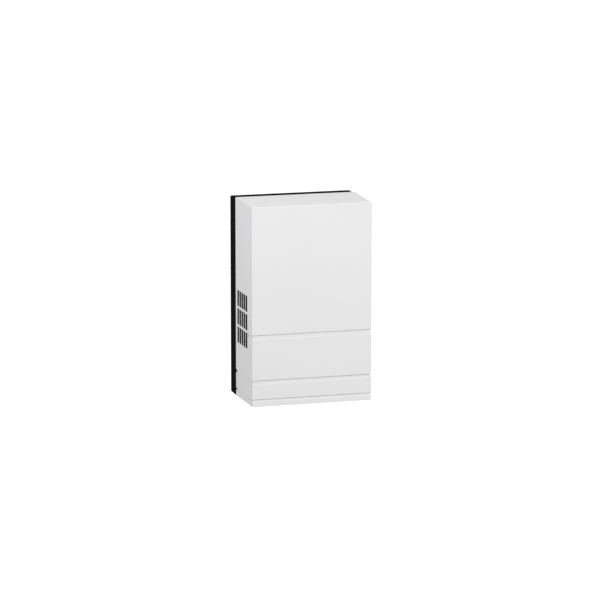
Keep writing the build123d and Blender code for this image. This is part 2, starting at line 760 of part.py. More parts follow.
coil_outline = (former_flange_width - 2 * coil_inset, coil_height)
coil_hole = (former_outer_width + 2 * coil_gap, former_outer_height + 2 * coil_gap)
secondary_span = (
    former_back_depth + former_flange_thickness + coil_gap, divider_depth - coil_gap,
)
primary_span = (
    divider_depth + former_flange_thickness + coil_gap,
    former_front_depth - former_flange_thickness - coil_gap,
)
with BuildPart() as secondary_winding:
    centred_ring(coil_outline, coil_hole, secondary_span, coil_corner_radius)
secondary_winding.part.label = "secondary_winding"
export_step(secondary_winding.part, "parts/secondary_winding.step")

with BuildPart() as primary_winding:
    centred_ring(coil_outline, coil_hole, primary_span, coil_corner_radius)
primary_winding.part.label = "primary_winding"
export_step(primary_winding.part, "parts/primary_winding.step")

# Clamp: one strip of steel over the front of the core, down both sides and out into two feet
with BuildPart() as transformer_clamp:
    clamp_front_depth = stack_front_depth + clamp_sheet
    block((-clamp_half_width, clamp_half_width), stack_span, (seat_depth, clamp_front_depth))
    for foot in both_sides((clamp_half_width - clamp_sheet, foot_end)):
        block(foot, stack_span, (seat_depth, seat_depth + clamp_sheet))
    block(
        (-stack_width / 2, stack_width / 2), stack_span, (seat_depth, stack_front_depth),
        mode=Mode.SUBTRACT,
    )
    for x in (-foot_screw_x, foot_screw_x):
        hole_span = (seat_depth, seat_depth + clamp_sheet)
        post(x, transformer_middle, hole_radius, hole_span, mode=Mode.SUBTRACT)
    bends = transformer_clamp.edges().filter_by(Axis.Z).group_by(Axis.Y)[0]
    fillet(bends, clamp_sheet)
transformer_clamp.part.label = "transformer_clamp"
export_step(transformer_clamp.part, "parts/transformer_clamp.step")

with BuildPart() as transformer_screws:
    for x in (-foot_screw_x, foot_screw_x):
        screw(
            x, transformer_middle, seat_depth + clamp_sheet, screw_head_radius,
            screw_head_height, screw_shank_radius, foot_screw_length,
        )
transformer_screws.part.label = "transformer_screws"
export_step(transformer_screws.part, "parts/transformer_screws.step")

# Terminal block, with a screwdriver well over each terminal
with BuildPart() as terminal_block:
    block_front_depth = block_seat_depth + block_depth
    block(
        (-block_width / 2, block_width / 2), (block_low, block_high),
        (block_seat_depth, block_front_depth), block_corner_radius,
    )
    block(
        (-block_width / 2 - ear_length, block_width / 2 + ear_length),
        (block_rise - ear_length / 2, block_rise + ear_length / 2),
        (block_seat_depth, block_seat_depth + ear_thickness),
        block_corner_radius,
    )
    for x in terminal_x:
        bore_span = (block_low, block_high)
        bore_radius = insert_radius + insert_fit
        pillar(x, terminal_axis_depth, bore_span, bore_radius, mode=Mode.SUBTRACT)
        well_span = (terminal_axis_depth, block_front_depth)
        post(x, block_rise, well_radius, well_span, mode=Mode.SUBTRACT)
    for x in (-ear_screw_x, ear_screw_x):
        hole_span = (block_seat_depth, block_seat_depth + ear_thickness)
        post(x, block_rise, hole_radius, hole_span, mode=Mode.SUBTRACT)
terminal_block.part.label = "terminal_block"
export_step(terminal_block.part, "parts/terminal_block.step")

with BuildPart() as terminal_inserts:
    for x in terminal_x:
        insert_span = (block_low + insert_inset, block_high - insert_inset)
        pillar(x, terminal_axis_depth, insert_span, insert_radius)
        pillar(x, terminal_axis_depth, insert_span, insert_bore_radius, mode=Mode.SUBTRACT)
        tapped_radius = terminal_shank_radius + terminal_shank_fit
        tapped_span = (terminal_axis_depth, terminal_axis_depth + insert_radius)
        post(x, block_rise, tapped_radius, tapped_span, mode=Mode.SUBTRACT)
terminal_inserts.part.label = "terminal_inserts"
export_step(terminal_inserts.part, "parts/terminal_inserts.step")

with BuildPart() as terminal_screws:
    for x in terminal_x:
        head_depth = terminal_axis_depth + insert_radius + terminal_head_gap
        screw(
            x, block_rise, head_depth, terminal_head_radius, terminal_head_height,
            terminal_shank_radius, terminal_shank_length,
        )
terminal_screws.part.label = "terminal_screws"
export_step(terminal_screws.part, "parts/terminal_screws.step")

with BuildPart() as block_screws:
    for x in (-ear_screw_x, ear_screw_x):
        screw(
            x, block_rise, block_seat_depth + ear_thickness, screw_head_radius,
            screw_head_height, screw_shank_radius, ear_screw_length,
        )
block_screws.part.label = "block_screws"
export_step(block_screws.part, "parts/block_screws.step")

# Rubber bush in the cable entry
with BuildPart() as cable_bush:
    neck_span = (entry_recess_depth, entry_front_depth)
    for flange_depth in (entry_recess_depth - entry_flange_thickness, entry_front_depth):
        flange_span = (flange_depth, flange_depth + entry_flange_thickness)
        post(0, entry_rise, entry_flange_radius, flange_span)
    post(0, entry_rise, entry_radius - entry_fit, neck_span)
    bush_ends = (neck_span[0] - entry_flange_thickness, neck_span[1] + entry_flange_thickness)
    post(0, entry_rise, entry_bore_radius, bush_ends, mode=Mode.SUBTRACT)
cable_bush.part.label = "cable_bush"
export_step(cable_bush.part, "parts/cable_bush.step")


# Leads
def bend_radii(points):
    """The radius of each bend: as large as the runs beside it leave room for."""
    radii = []
    for before, at, after in zip(points, points[1:], points[2:]):
        arriving, leaving = Vector(at) - Vector(before), Vector(after) - Vector(at)
        half_turn = arriving.get_angle(leaving) * pi / 360
        radii.append(lead_bend_share * min(arriving.length, leaving.length) / tan(half_turn))
    return radii


def lead(route):
    """An insulated wire along a route of (x, depth, z) points."""
    points = [(x, -depth, z) for x, depth, z in route]
    radii = bend_radii(points)
    print("lead bends:", [round(radius, 1) for radius in radii])
    with BuildLine() as line:
        FilletPolyline(*points, radius=radii)
    with BuildSketch(Plane(line.line @ 0, z_dir=line.line % 0)) as section:
        Circle(lead_radius)
    sweep(section.sketch, path=line.line)


coil_top = transformer_middle + coil_height / 2 + lead_start_gap
coil_side = winding_radius + lead_start_gap
coil_start = yoke_right - coil_start_inset
lead_tip = block_low + lead_tip_rise
primary_depth = sum(primary_span) / 2
secondary_depth = sum(secondary_span) / 2


def floor_lead(start_x, start_depth, pass_x, end_x):
    """A lead from a winding, down to the floor, past the solenoid and up into a terminal."""
    lead([
        (start_x, start_depth, coil_top),
        (start_x, start_depth, coil_top + lead_step),
        ((start_x + pass_x) / 2, (start_depth + pass_depth) / 2, -pass_height - 3 * lead_step),
        (pass_x, pass_depth, -pass_height),
        (pass_x, pass_depth, pass_height),
        ((pass_x + end_x) / 2, (pass_depth + terminal_axis_depth) / 2, block_low - 3 * lead_step),
        (end_x, terminal_axis_depth, block_low - lead_step),
        (end_x, terminal_axis_depth, lead_tip),
    ])


with BuildPart() as primary_leads:
    floor_lead(-outer_start, primary_depth, -outer_pass, terminal_x[0])
    floor_lead(-inner_start, primary_depth, -inner_pass, terminal_x[1])
primary_leads.part.label = "primary_leads"
export_step(primary_leads.part, "parts/primary_leads.step")

with BuildPart() as secondary_lead:
    floor_lead(inner_start, secondary_depth, inner_pass, terminal_x[2])
secondary_lead.part.label = "secondary_lead"
export_step(secondary_lead.part, "parts/secondary_lead.step")

# one lead joins the secondary to the coil, and one joins the coil to the last terminal
with BuildPart() as coil_leads:
    lead([
        (outer_start, secondary_depth, coil_top),
        (outer_start, secondary_depth, coil_top + lead_step),
        ((outer_start + coil_start) / 2, (secondary_depth + axis_depth) / 2, -2 * pass_height),
        (coil_start, axis_depth, -coil_side - lead_step),
        (coil_start, axis_depth, -coil_side),
    ])
    lead([
        (coil_start, axis_depth, coil_side),
        (coil_start, axis_depth, coil_side + lead_step),
        ((coil_start + terminal_x[3]) / 2, (axis_depth + terminal_axis_depth) / 2, 2 * pass_height),
        (terminal_x[3], terminal_axis_depth, block_low - lead_step),
        (terminal_x[3], terminal_axis_depth, lead_tip),
    ])
coil_leads.part.label = "coil_leads"
export_step(coil_leads.part, "parts/coil_leads.step")
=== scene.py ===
import math

import bpy
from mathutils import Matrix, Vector


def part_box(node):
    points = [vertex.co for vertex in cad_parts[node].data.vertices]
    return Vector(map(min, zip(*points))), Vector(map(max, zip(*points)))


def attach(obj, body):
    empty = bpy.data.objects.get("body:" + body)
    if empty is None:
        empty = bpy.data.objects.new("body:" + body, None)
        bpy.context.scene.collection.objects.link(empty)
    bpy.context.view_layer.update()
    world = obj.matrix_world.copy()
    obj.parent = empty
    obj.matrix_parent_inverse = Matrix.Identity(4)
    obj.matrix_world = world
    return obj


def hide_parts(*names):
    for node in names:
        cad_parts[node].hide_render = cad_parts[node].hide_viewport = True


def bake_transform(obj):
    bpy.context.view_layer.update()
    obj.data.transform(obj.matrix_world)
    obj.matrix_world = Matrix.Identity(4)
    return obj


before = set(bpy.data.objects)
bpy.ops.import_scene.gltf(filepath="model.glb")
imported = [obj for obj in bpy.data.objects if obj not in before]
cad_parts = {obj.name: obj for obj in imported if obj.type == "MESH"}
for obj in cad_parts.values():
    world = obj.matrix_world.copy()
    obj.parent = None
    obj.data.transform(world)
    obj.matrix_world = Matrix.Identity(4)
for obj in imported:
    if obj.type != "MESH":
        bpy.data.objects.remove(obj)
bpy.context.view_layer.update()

bl_info = {
    "name": "Two-note door chime",
    "version": (1, 0, 0),
    "blender": (4, 5, 0),
    "location": "3D View > Sidebar > Chime",
    "description": "Finishes and studio for a two-note door chime",
    "category": "Object",
}


# Sizes and colours that a user would change

class ChimeCase(bpy.types.PropertyGroup):
    """The moulded case."""

    cover_colour: bpy.props.FloatVectorProperty(
        name="Cover", description="Colour of the cover's plastic",
        subtype="COLOR", size=4, min=0, max=1, default=(0.813, 0.812, 0.811, 1),
    )
    base_colour: bpy.props.FloatVectorProperty(
        name="Base", description="Colour of the base's plastic",
        subtype="COLOR", size=4, min=0, max=1, default=(0.0055, 0.0055, 0.0062, 1),
    )
    grain: bpy.props.FloatProperty(
        name="Grain", description="Size of the fine grain that the mould leaves on the plastic",
        unit="LENGTH", min=0.0001, default=0.0005,
    )
    # Where the painted shade lies on the cover: the vents' cut edges, under the grooves' lips and on the
    # wide grooves' slopes
    vent_middle: bpy.props.FloatVectorProperty(
        name="Vents' middle", description="How far in front of the wall and how high the vents lie",
        subtype="TRANSLATION", unit="LENGTH", size=2, default=(0.0432, -0.0174),
    )
    vent_reach: bpy.props.FloatVectorProperty(
        name="Vents' reach", description="Half the depth and half the height of the field of vents",
        subtype="TRANSLATION", unit="LENGTH", size=2, default=(0.0184, 0.0264),
    )
    side_draft: bpy.props.FloatProperty(
        name="Draft", description="How far each side of the cover leans in from its rear to its front",
        unit="LENGTH", min=0, default=0.0006,
    )
    # the strip next to the outer face that the painted shade leaves out
    vent_arris: bpy.props.FloatProperty(
        name="Vents' arris", description="How wide the bright arris round each vent is",
        unit="LENGTH", min=0.00001, default=0.00008,
    )
    vent_edge: bpy.props.FloatProperty(
        name="Vents' edge", description="How far below the outer face the vents' cut edges are shaded",
        unit="LENGTH", min=0.0001, default=0.0008,
    )
    lip_heights: bpy.props.FloatVectorProperty(
        name="Lips", description="Heights of the lips over the grooves, from the top one down",
        subtype="TRANSLATION", unit="LENGTH", size=3, default=(-0.0269, -0.0709, -0.0893),
    )
    lip_depth: bpy.props.FloatProperty(
        name="Lips' depth", description="Depth of the grooves", unit="LENGTH", min=0.0001, default=0.00075,
    )
    lip_shade: bpy.props.FloatProperty(
        name="Lips' shade", description="How far the line of shade reaches below each lip",
        unit="LENGTH", min=0.00001, default=0.0009,
    )
    slope_shade: bpy.props.FloatProperty(
        name="Slopes' shade", description="Share of the shade at the top of the two wide grooves' slopes",
        min=0, max=1, default=0.26,
    )
    # how dark the painted shade is
    shade: bpy.props.FloatProperty(
        name="Shade", description="How bright the shaded edges are beside the rest", min=0, max=1,
        default=0.33,
    )


class ChimeWorks(bpy.types.PropertyGroup):
    """The bars, the solenoid, the transformer and the wiring."""

    coil_wire: bpy.props.FloatProperty(
        name="Coil wire", description="Diameter of the solenoid's enamelled wire",
        unit="LENGTH", min=0.0001, default=0.00042,
    )
    spring_wire: bpy.props.FloatProperty(
        name="Spring wire", description="Diameter of the return spring's wire",
        unit="LENGTH", min=0.0001, default=0.0006,
    )
    spring_end_pitch: bpy.props.FloatProperty(
        name="End turns", description="Pitch of the spring's closed end turns",
        unit="LENGTH", min=0.0001, default=0.0011,
    )
    spring_turns: bpy.props.IntProperty(
        name="Open turns", description="Number of the spring's open turns", min=1, default=6,
    )
    primary_wire: bpy.props.FloatProperty(
        name="Primary wire", description="Spacing of the ridges on the transformer's primary winding",
        unit="LENGTH", min=0.0001, default=0.00025,
    )
    secondary_wire: bpy.props.FloatProperty(
        name="Secondary wire", description="Spacing of the ridges on its secondary winding",
        unit="LENGTH", min=0.0001, default=0.0006,
    )
    sheet: bpy.props.FloatProperty(
        name="Core sheet", description="Thickness of one steel sheet of the transformer's core",
        unit="LENGTH", min=0.0001, default=0.0005,
    )
    steel_colour: bpy.props.FloatVectorProperty(
        name="Steel", description="Colour of the tone bars",
        subtype="COLOR", size=4, min=0, max=1, default=(0.58, 0.575, 0.56, 1),
    )
    coil_bore: bpy.props.FloatProperty(
        name="Coil bore", description="Radius of the hole through the coil",
        unit="LENGTH", min=0.0001, default=0.0063,
    )
    tape_width: bpy.props.FloatProperty(
        name="Tape width", description="Width of the tape over the coil's leads",
        unit="LENGTH", min=0.0001, default=0.0093,
    )
    tape_inset: bpy.props.FloatProperty(
        name="Tape inset", description="From the coil's right end to the tape",
        unit="LENGTH", min=0, default=0.0022,
    )
    tape_thickness: bpy.props.FloatProperty(
        name="Tape thickness", description="How far the tape stands over the coil",
        unit="LENGTH", min=0.00001, default=0.00006,
    )
    copper_colour: bpy.props.FloatVectorProperty(
        name="Coil", description="Colour of the enamelled copper wire",
        subtype="COLOR", size=4, min=0, max=1, default=(0.62, 0.2, 0.07, 1),
    )
    tape_colour: bpy.props.FloatVectorProperty(
        name="Tape", description="Colour of the tape over the windings",
        subtype="COLOR", size=4, min=0, max=1, default=(0.72, 0.47, 0.07, 1),
    )


class ChimeStage(bpy.types.PropertyGroup):
    """The studio: floor, lamps and camera."""

    azimuth: bpy.props.FloatProperty(
        name="Azimuth", description="How far round from the front the camera stands",
        subtype="ANGLE", default=math.radians(-15.89),
    )
    elevation: bpy.props.FloatProperty(
        name="Elevation", description="How far above the horizon the camera stands",
        subtype="ANGLE", default=math.radians(11.07),
    )
    distance: bpy.props.FloatProperty(
        name="Distance", description="From the camera to the middle of the case",
        unit="LENGTH", default=3.087,
    )
    lens: bpy.props.FloatProperty(
        name="Lens", description="Focal length in millimetres", default=192.0,
    )
    aim: bpy.props.FloatVectorProperty(
        name="Aim", description="The point that the camera looks at",
        subtype="TRANSLATION", unit="LENGTH", default=(-0.0009, -0.03875, -0.00263),
    )
    floor_half: bpy.props.FloatProperty(
        name="Floor's half", description="Half the side of the floor", unit="LENGTH", default=12.0,
    )
    floor_drop: bpy.props.FloatProperty(
        name="Floor", description="How far the floor lies below the middle of the case",
        unit="LENGTH", default=0.45,
    )
    floor_glow: bpy.props.FloatProperty(
        name="Floor's glow", description="How bright the white is that the camera sees in the floor",
        min=0, default=1.55,
    )
    floor_share: bpy.props.FloatProperty(
        name="Floor's share", description="Share of that white. The rest shows the shadow",
        min=0, max=1, default=0.6,
    )
    ambient: bpy.props.FloatProperty(
        name="Ambient", description="Strength of the light from all round", min=0, default=0.54,
    )
    key_place: bpy.props.FloatVectorProperty(
        name="Key's place", description="Where the large soft lamp stands",
        subtype="TRANSLATION", unit="LENGTH", default=(0.265, -0.97, 0.635),
    )
    key_size: bpy.props.FloatProperty(
        name="Key's size", description="Side of the large soft lamp", unit="LENGTH", default=0.7,
    )
    key_power: bpy.props.FloatProperty(
        name="Key", description="Power of the large soft lamp", unit="POWER", min=0, default=6.85,
    )
    fill_place: bpy.props.FloatVectorProperty(
        name="Fill's place", description="Where the small lamp beside the left side stands",
        subtype="TRANSLATION", unit="LENGTH", default=(-0.23, -0.084, 0.13),
    )
    fill_size: bpy.props.FloatProperty(
        name="Fill's size", description="Side of the small lamp", unit="LENGTH", default=0.3,
    )
    fill_power: bpy.props.FloatProperty(
        name="Fill", description="Power of the small lamp beside the left side", unit="POWER", min=0,
        default=0.163,
    )
    fill_colour: bpy.props.FloatVectorProperty(
        name="Fill's colour", description="Colour of the small lamp, a little cooler than the other",
        subtype="COLOR", min=0, max=1, default=(0.93, 0.93, 1.0),
    )


WHITE = (1, 1, 1, 1)


# Shader nodes as Python expressions

class Signal:
    """An output of a shader node. Arithmetic on it adds Math nodes."""

    def __init__(self, finish, socket):
        self.finish = finish
        self.socket = socket

    def combined(self, operation, *values):
        return self.finish.node("ShaderNodeMath", {"operation": operation}, dict(enumerate(values)))

    def __add__(self, other):
        return self.combined("ADD", self, other)

    def __radd__(self, other):
        return self.combined("ADD", other, self)

    def __sub__(self, other):
        return self.combined("SUBTRACT", self, other)

    def __rsub__(self, other):
        return self.combined("SUBTRACT", other, self)

    def __mul__(self, other):
        return self.combined("MULTIPLY", self, other)

    def __rmul__(self, other):
        return self.combined("MULTIPLY", other, self)

    def __truediv__(self, other):
        return self.combined("DIVIDE", self, other)

    def __mod__(self, other):
        return self.combined("FLOORED_MODULO", self, other)

    def __gt__(self, other):
        return self.combined("GREATER_THAN", self, other)

    def __lt__(self, other):
        return self.combined("LESS_THAN", self, other)

    def __abs__(self):
        return self.combined("ABSOLUTE", self)


class Finish:
    """A material, or the world, and the nodes that make it."""

    def __init__(self, owner):
        self.owner = owner
        owner.use_nodes = True
        self.tree = owner.node_tree
        self.tree.nodes.clear()

    def node(self, kind, settings=None, inputs=None, output=0):
        """Adds a node: first its settings, then the values and links of its inputs."""
        node = self.tree.nodes.new(kind)
        for name, value in (settings or {}).items():
            setattr(node, name, value)
        for name, value in (inputs or {}).items():
            if isinstance(value, Signal):
                self.tree.links.new(value.socket, node.inputs[name])
            else:
                node.inputs[name].default_value = value
        return Signal(self, node.outputs[output]) if node.outputs else node

    def place(self):
        """The point on the object, in metres in the object's own frame."""
        return self.node("ShaderNodeTexCoord", output="Object")

    def along(self, place, axis):
        """One coordinate of a point: X, Y or Z."""
        return self.node("ShaderNodeSeparateXYZ", inputs={0: place}, output=axis)

    def scaled(self, place, factors):
        """A point with each coordinate multiplied by its own factor."""
        return self.node("ShaderNodeVectorMath", {"operation": "MULTIPLY"}, {0: place, 1: factors})

    def noise(self, place, size, detail=2.0, roughness=0.5, distortion=0.0):
        """Soft noise from 0 to 1 with features of a size in metres."""
        inputs = {
            "Vector": place, "Scale": 1 / size, "Detail": detail,
            "Roughness": roughness, "Distortion": distortion,
        }
        return self.node("ShaderNodeTexNoise", inputs=inputs)

    def spread(self, value, low, high, to_low=0.0, to_high=1.0):
        """A value between low and high spread over another range, and held at its ends."""
        inputs = {0: value, 1: low, 2: high, 3: to_low, 4: to_high}
        return self.node("ShaderNodeMapRange", {"clamp": True}, inputs)

    def blend(self, factor, first, second):
        """A colour between two colours."""
        settings = {"data_type": "RGBA", "clamp_factor": True}
        return self.node("ShaderNodeMix", settings, {0: factor, 6: first, 7: second}, output=2)

    def bump(self, height, distance, strength=1.0):
        """A surface normal bent by a height from 0 to 1 that stands for a distance in metres."""
        inputs = {"Strength": strength, "Distance": distance, "Height": height}
        return self.node("ShaderNodeBump", inputs=inputs)

    def principled(self, inputs):
        """Finishes the material with a Principled shader."""
        shader = self.node("ShaderNodeBsdfPrincipled", inputs=inputs)
        self.node("ShaderNodeOutputMaterial", inputs={"Surface": shader})
        return self.owner


def new_finish(name):
    return Finish(bpy.data.materials.new(name))


def tinted(colour, factor):
    """A colour made lighter or darker by a factor."""
    return tuple(min(1.0, channel * factor) for channel in colour[:3]) + (1,)


# Finishes

def moulded_plastic(
    name, colour, grain, relief, roughness, drift=0.03, softness=0.0, shine=0.5, shaded=None, darkest=1.0,
):
    """Injection-moulded plastic: an even fine grain, and colour and gloss that drift a little.
    Where shaded gives 1, the colour is multiplied by darkest: painted shade."""
    finish = new_finish(name)
    place = finish.place()
    cloud = finish.noise(place, size=0.06, detail=3)
    fine = finish.noise(place, size=grain, detail=2, roughness=0.6)
    streaks = finish.noise(finish.scaled(place, (1, 1, 0.3)), size=0.006, detail=6)
    scuffs = finish.spread(streaks, 0.6, 0.75)
    mixed = finish.blend(
        finish.spread(cloud, 0.3, 0.7), tinted(colour, 1 - drift), tinted(colour, 1 + drift),
    )
    # painted shade: the colour darkened where shaded says so
    if shaded:
        mixed = finish.blend(shaded(finish, place), mixed, tinted(colour, darkest))
    return finish.principled({
        "Base Color": mixed,
        "Roughness": roughness + 0.08 * fine + 0.05 * scuffs,
        "Normal": finish.bump(fine, distance=relief, strength=0.6),
        "Specular IOR Level": shine,
        "Subsurface Weight": softness,
        "Subsurface Radius": (0.002, 0.0018, 0.0014),
        "Subsurface Scale": 1.0,
    })


def brushed_steel(name, colour, stretch, roughness, tarnish=0.2):
    """Steel with fine lines along one direction, and dull patches."""
    finish = new_finish(name)
    place = finish.place()
    lines = finish.noise(finish.scaled(place, stretch), size=0.0004, detail=4, roughness=0.7)
    patches = finish.spread(finish.noise(place, size=0.012, detail=5, roughness=0.6), 0.42, 0.68)
    return finish.principled({
        "Base Color": finish.blend(
            tarnish * patches + 0.25 * lines, colour, tinted(colour, 0.55),
        ),
        "Metallic": 1.0,
        "Roughness": roughness + 0.12 * lines + 0.15 * patches,
        "Normal": finish.bump(lines, distance=0.00002, strength=0.5),
    })


def plated_steel(name, colour, second_colour, roughness=0.3):
    """Zinc plating, whose passivated film shifts between two tints."""
    finish = new_finish(name)
    place = finish.place()
    film = finish.spread(finish.noise(place, size=0.009, detail=4, distortion=0.6), 0.35, 0.65)
    spangle = finish.noise(place, size=0.0006, detail=2)
    return finish.principled({
        "Base Color": finish.blend(film, colour, second_colour),
        "Metallic": 1.0,
        "Roughness": roughness + 0.14 * spangle + 0.08 * film,
        "Normal": finish.bump(spangle, distance=0.00001, strength=0.5),
    })


def soft_rubber(name, colour):
    """Dull rubber with a little pale bloom."""
    finish = new_finish(name)
    place = finish.place()
    bloom = finish.spread(finish.noise(place, size=0.004, detail=5), 0.5, 0.8)
    fine = finish.noise(place, size=0.0003)
    return finish.principled({
        "Base Color": finish.blend(bloom, colour, tinted(colour, 2.4)),
        "Roughness": 0.7 + 0.12 * bloom,
        "Normal": finish.bump(fine, distance=0.00002, strength=0.5),
    })


def stacked_sheets(name, colour, sheet):
    """Edges and faces of a stack of varnished steel sheets."""
    finish = new_finish(name)
    place = finish.place()
    height = finish.along(place, "Z")
    inside = (height / sheet) % 1.0
    joint = finish.spread(abs(inside - 0.5), 0.36, 0.48)
    varnish = finish.spread(finish.noise(place, size=0.005, detail=4), 0.4, 0.7)
    return finish.principled({
        "Base Color": finish.blend(
            joint, finish.blend(varnish, colour, tinted(colour, 0.6)), (0.01, 0.009, 0.008, 1),
        ),
        "Metallic": 0.85 - 0.5 * joint,
        "Roughness": 0.38 + 0.2 * varnish + 0.2 * joint,
        "Normal": finish.bump(1 - joint, distance=0.00008, strength=0.7),
    })


def taped_winding(name, colour, wire, tape=0.009):
    """Wire turns that show as ridges through a wrap of clear yellow tape, as wide as given."""
    finish = new_finish(name)
    place = finish.place()
    depth = finish.along(place, "Y")
    ridge = abs((depth / wire) % 1.0 - 0.5)
    edge = finish.spread(abs((depth / tape) % 1.0 - 0.5), 0.46, 0.5)
    streaks = finish.noise(finish.scaled(place, (0.3, 1, 0.3)), size=0.003, detail=4)
    creases = finish.spread(streaks, 0.55, 0.75)
    return finish.principled({
        "Base Color": finish.blend(0.5 * edge + 0.3 * creases, colour, tinted(colour, 0.55)),
        "Metallic": 0.15 + 0.2 * ridge,
        "Roughness": 0.25 + 0.15 * creases,
        "Normal": finish.bump(ridge + creases, distance=0.0001, strength=0.5),
        "Coat Weight": 0.5 + 0.3 * creases,
        "Coat Roughness": 0.12,
    })


def enamelled_wire(name, colour):
    """Copper wire under clear enamel."""
    finish = new_finish(name)
    place = finish.place()
    warm = finish.noise(finish.scaled(place, (6, 1, 1)), size=0.006, detail=3)
    return finish.principled({
        "Base Color": finish.blend(
            finish.spread(warm, 0.35, 0.65), tinted(colour, 0.75), tinted(colour, 1.15),
        ),
        "Metallic": 1.0,
        "Roughness": 0.2 + 0.12 * warm,
        "Coat Weight": 0.8,
        "Coat Roughness": 0.1,
        "Coat Tint": (1.0, 0.85, 0.6, 1),
    })


def wire_insulation(name, colour, right_colour=None, border=None):
    """Smooth wire insulation. A second colour lies right of a border, given at two heights."""
    finish = new_finish(name)
    place = finish.place()
    dust = finish.spread(finish.noise(place, size=0.004, detail=4), 0.45, 0.8)
    if border:
        (near, near_x), (far, far_x) = border
        edge = finish.spread(abs(finish.along(place, "Z")), near, far, near_x, far_x)
        colour = finish.blend(finish.along(place, "X") > edge, colour, right_colour)
    return finish.principled({
        "Base Color": finish.blend(0.12 * dust, colour, (0.5, 0.48, 0.45, 1)),
        "Roughness": 0.32 + 0.25 * dust,
        "Normal": finish.bump(dust, distance=0.00002, strength=0.4),
    })


# Meshes

def dress(node, material):
    """Gives a CAD node its material."""
    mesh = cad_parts[node].data
    mesh.materials.clear()
    mesh.materials.append(material)


def new_piece(name, vertices, faces, material, smooth=True):
    """A mesh piece with one material."""
    mesh = bpy.data.meshes.new(name)
    mesh.from_pydata([tuple(v) for v in vertices], [], faces)
    mesh.materials.append(material)
    for polygon in mesh.polygons:
        polygon.use_smooth = smooth
    mesh.update()
    piece = bpy.data.objects.new(name, mesh)
    bpy.context.scene.collection.objects.link(piece)
    return piece


def tube(points, radius, sides):
    """Vertices and faces of a round tube along points, with flat ends."""
    vertices, faces = [], []
    tangent = (points[1] - points[0]).normalized()
    side = tangent.orthogonal().normalized()
    for i, point in enumerate(points):
        ahead = points[min(i + 1, len(points) - 1)]
        behind = points[max(i - 1, 0)]
        tangent = (ahead - behind).normalized()
        side = (side - side.dot(tangent) * tangent).normalized()
        other = tangent.cross(side)
        for step in range(sides):
            angle = 2 * math.pi * step / sides
            vertices.append(point + radius * (math.cos(angle) * side + math.sin(angle) * other))
    for i in range(len(points) - 1):
        for step in range(sides):
            following = (step + 1) % sides
            low, high = i * sides, (i + 1) * sides
            faces.append((low + step, low + following, high + following, high + step))
    faces.append(tuple(reversed(range(sides))))
    faces.append(tuple(range(len(vertices) - sides, len(vertices))))
    return vertices, faces


def around(centre, x, radius, angle):
    """A point round an axis along X through a centre."""
    return Vector((x, centre.y + radius * math.cos(angle), centre.z + radius * math.sin(angle)))


def turned(profile, centre, sides):
    """Vertices and faces of a ring turned round an axis along X: a closed profile of (x, radius)."""
    vertices, faces = [], []
    count = len(profile)
    for step in range(sides):
        angle = 2 * math.pi * step / sides
        for x, radius in profile:
            vertices.append(around(centre, x, radius, angle))
    for step in range(sides):
        here, there = step * count, (step + 1) % sides * count
        for i in range(count):
            following = (i + 1) % count
            faces.append((here + i, there + i, there + following, here + following))
    return vertices, faces


# Operators: one for the stage, and one for each group of pieces

